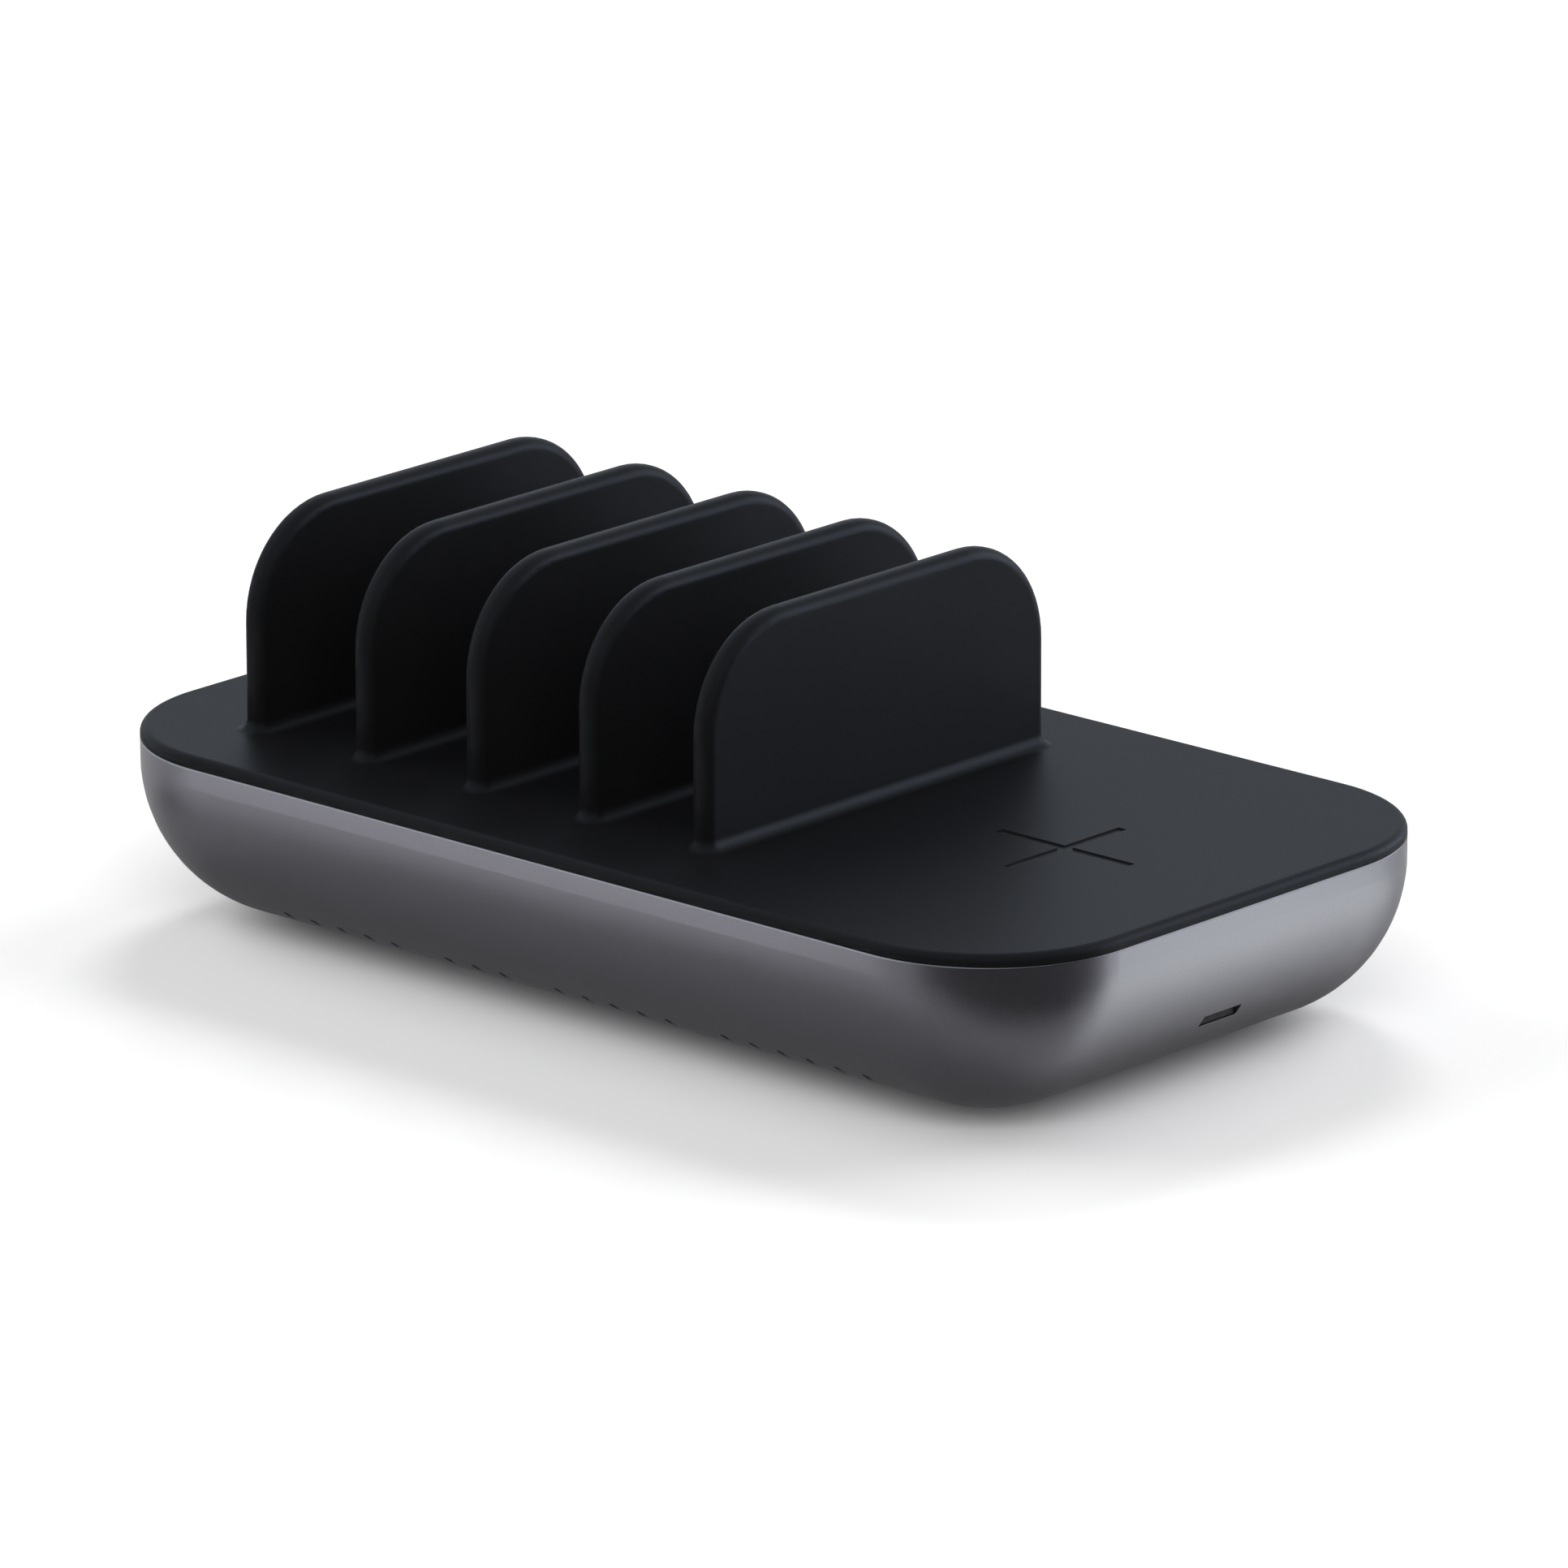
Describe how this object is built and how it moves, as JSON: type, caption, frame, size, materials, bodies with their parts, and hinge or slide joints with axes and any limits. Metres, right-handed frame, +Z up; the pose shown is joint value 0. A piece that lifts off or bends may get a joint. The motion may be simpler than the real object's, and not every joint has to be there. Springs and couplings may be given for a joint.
{
  "type": "charging station organizer",
  "caption": "Low pebble-shaped charging station with upright dividers that hold devices on edge and a flat wireless charging pad at one end.",
  "frame": {"origin": "centre of the bounding box in plan, on the floor under the feet", "axes": "+X along the length towards the charging pad, -Y towards the long side the picture shows, +Y towards the sockets, +Z up"},
  "size_m": [0.19, 0.107, 0.0655],
  "materials": {
    "shell_aluminium": "bead-blasted, anodised dark grey",
    "skin_black": "matt soft-touch elastomer",
    "window_smoked": "smoked, polished",
    "deck_plastic": "glass-filled, plain",
    "cover_plastic": "fine spark texture",
    "foot_rubber": "matt, moulded",
    "screw_steel": "zinc plated, dull",
    "board_green": "solder mask over glass laminate",
    "socket_steel": "bright nickel plate",
    "socket_plastic": "plain",
    "inlet_plastic": "plain",
    "pin_nickel": "nickel plated",
    "fuse_brown": "sleeved",
    "copper": "enamelled copper wire",
    "film_yellow": "moulded case",
    "chip_black": "moulded epoxy",
    "can_sleeve": "shrunk sleeve",
    "sink_aluminium": "extruded, mill finish",
    "ferrite": "sintered, dull",
    "winding_tape": "polyester tape",
    "tray_plastic": "plain",
    "ribbon_film": "laminated film",
    "lamp_white": "clear over phosphor",
    "sheet_black": "insulating sheet"
  },
  "bodies": {
    "root": {"shell": "shell_aluminium", "top_skin": "skin_black", "light_pipe": "window_smoked", "deck_plate": "deck_plastic", "base_cover": "cover_plastic", "foot_front_near": "foot_rubber", "foot_front_far": "foot_rubber", "foot_rear_near": "foot_rubber", "foot_rear_far": "foot_rubber", "base_screws": "screw_steel", "port_board": "board_green", "usb_a_shell_1": "socket_steel", "usb_a_shell_2": "socket_steel", "usb_c_shell_1": "socket_steel", "usb_c_shell_2": "socket_steel", "usb_a_core_1": "socket_plastic", "usb_a_core_2": "socket_plastic", "usb_c_core_1": "socket_plastic", "usb_c_core_2": "socket_plastic", "port_board_screws": "screw_steel", "power_board": "board_green", "ac_inlet": "inlet_plastic", "inlet_pins": "pin_nickel", "power_board_screws": "screw_steel", "fuse": "fuse_brown", "line_filter_choke": "copper", "line_capacitor": "film_yellow", "bridge_rectifier": "chip_black", "bulk_capacitor": "can_sleeve", "heat_sink": "sink_aluminium", "power_switch": "chip_black", "transformer_core": "ferrite", "transformer_winding": "winding_tape", "output_capacitors": "can_sleeve", "supply_link": "socket_plastic", "port_controller": "chip_black", "wireless_board": "board_green", "wireless_board_screws": "screw_steel", "charging_coil": "copper", "ferrite_disc": "ferrite", "coil_tray": "tray_plastic", "wireless_controller": "chip_black", "status_lamp": "lamp_white", "ribbon_cable": "ribbon_film", "insulation_sheet": "sheet_black"}
  },
  "joints": []
}
